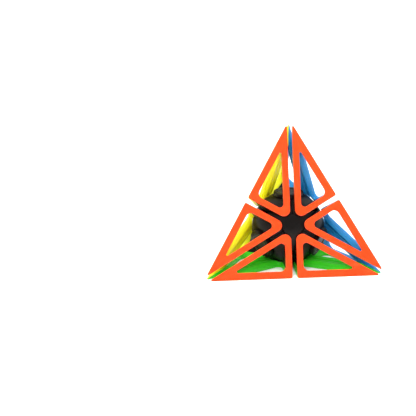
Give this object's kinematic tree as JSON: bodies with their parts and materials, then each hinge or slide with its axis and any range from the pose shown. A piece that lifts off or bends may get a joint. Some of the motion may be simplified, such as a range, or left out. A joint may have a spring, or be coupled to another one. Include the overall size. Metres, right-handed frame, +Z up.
{
  "type": "pyramid twisty puzzle",
  "caption": "Pyramid twisty puzzle with open right-triangle frames joined in two-colour wings round a black ball, whose corner layers each turn about the corner's axis.",
  "frame": {"origin": "centre of the ball, where the turning axes meet", "axes": "+Z up through the top corner, square to the base; -Y out of the front edge of the base, which is parallel to X"},
  "size_m": [0.0938, 0.0824, 0.0765],
  "materials": {
    "orange_plastic": "satin moulded ABS",
    "yellow_plastic": "satin moulded ABS",
    "blue_plastic": "satin moulded ABS",
    "green_plastic": "satin moulded ABS",
    "black_plastic": "polished moulded ABS",
    "core_plastic": "moulded nylon",
    "steel": "zinc-plated steel"
  },
  "bodies": {
    "ball": {"core": "core_plastic", "screws": "steel", "springs": "steel", "washers": "steel", "orange_face_cap": "black_plastic", "yellow_face_cap": "black_plastic", "blue_face_cap": "black_plastic", "green_face_cap": "black_plastic"},
    "top_layer": {"top_hub": "black_plastic", "top_plug": "black_plastic", "top_to_left_foot": "black_plastic", "top_to_right_foot": "black_plastic", "top_to_back_foot": "black_plastic", "top_to_left_orange_frame": "orange_plastic", "top_to_left_yellow_frame": "yellow_plastic", "top_to_right_orange_frame": "orange_plastic", "top_to_right_blue_frame": "blue_plastic", "top_to_back_yellow_frame": "yellow_plastic", "top_to_back_blue_frame": "blue_plastic"},
    "left_layer": {"left_hub": "black_plastic", "left_plug": "black_plastic", "left_to_top_foot": "black_plastic", "left_to_right_foot": "black_plastic", "left_to_back_foot": "black_plastic", "left_to_top_orange_frame": "orange_plastic", "left_to_top_yellow_frame": "yellow_plastic", "left_to_right_orange_frame": "orange_plastic", "left_to_right_green_frame": "green_plastic", "left_to_back_yellow_frame": "yellow_plastic", "left_to_back_green_frame": "green_plastic"},
    "right_layer": {"right_hub": "black_plastic", "right_plug": "black_plastic", "right_to_top_foot": "black_plastic", "right_to_left_foot": "black_plastic", "right_to_back_foot": "black_plastic", "right_to_top_orange_frame": "orange_plastic", "right_to_top_blue_frame": "blue_plastic", "right_to_left_orange_frame": "orange_plastic", "right_to_left_green_frame": "green_plastic", "right_to_back_blue_frame": "blue_plastic", "right_to_back_green_frame": "green_plastic"},
    "back_layer": {"back_hub": "black_plastic", "back_plug": "black_plastic", "back_to_top_foot": "black_plastic", "back_to_left_foot": "black_plastic", "back_to_right_foot": "black_plastic", "back_to_top_yellow_frame": "yellow_plastic", "back_to_top_blue_frame": "blue_plastic", "back_to_left_yellow_frame": "yellow_plastic", "back_to_left_green_frame": "green_plastic", "back_to_right_blue_frame": "blue_plastic", "back_to_right_green_frame": "green_plastic"}
  },
  "joints": [
    {"name": "top_turn", "type": "hinge", "parent": "ball", "child": "top_layer", "pos_m": [0, 0, 0], "axis": [0, 0, 1], "range_deg": [-120, 120]},
    {"name": "left_turn", "type": "hinge", "parent": "ball", "child": "left_layer", "pos_m": [0, 0, 0], "axis": [-0.8165, -0.4714, -0.3333], "range_deg": [-120, 120]},
    {"name": "right_turn", "type": "hinge", "parent": "ball", "child": "right_layer", "pos_m": [0, 0, 0], "axis": [0.8165, -0.4714, -0.3333], "range_deg": [-120, 120]},
    {"name": "back_turn", "type": "hinge", "parent": "ball", "child": "back_layer", "pos_m": [0, 0, 0], "axis": [0, 0.9428, -0.3333], "range_deg": [-120, 120]}
  ]
}
